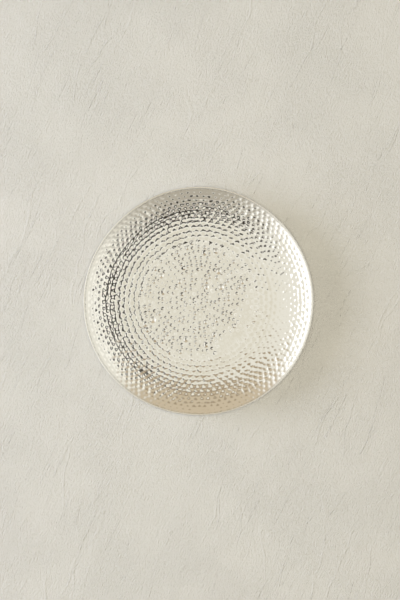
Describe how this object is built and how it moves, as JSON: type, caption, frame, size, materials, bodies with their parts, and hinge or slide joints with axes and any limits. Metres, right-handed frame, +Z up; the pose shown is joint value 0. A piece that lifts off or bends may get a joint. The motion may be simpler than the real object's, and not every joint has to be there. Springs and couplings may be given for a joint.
{
  "type": "paten plate",
  "caption": "Shallow round hammered metal dish with a flat floor, a curved wall, a round wire along the edge and a low foot ring.",
  "frame": {"origin": "on the dish's axis, in the plane that the foot ring stands on", "axes": "+Z up, out of the open side of the dish; +X and +Y lie in the plane of the foot ring"},
  "size_m": [0.18, 0.18, 0.0225],
  "materials": {
    "hammered_plate": "polished",
    "drawn_wire": "polished",
    "foot_strip": "satin",
    "solder": "satin"
  },
  "bodies": {
    "root": {"hammered_dish": "hammered_plate", "rim_wire": "drawn_wire", "rim_wire_joint": "solder", "rim_solder": "solder", "foot_ring": "foot_strip", "foot_ring_joint": "solder", "foot_solder": "solder"}
  },
  "joints": []
}
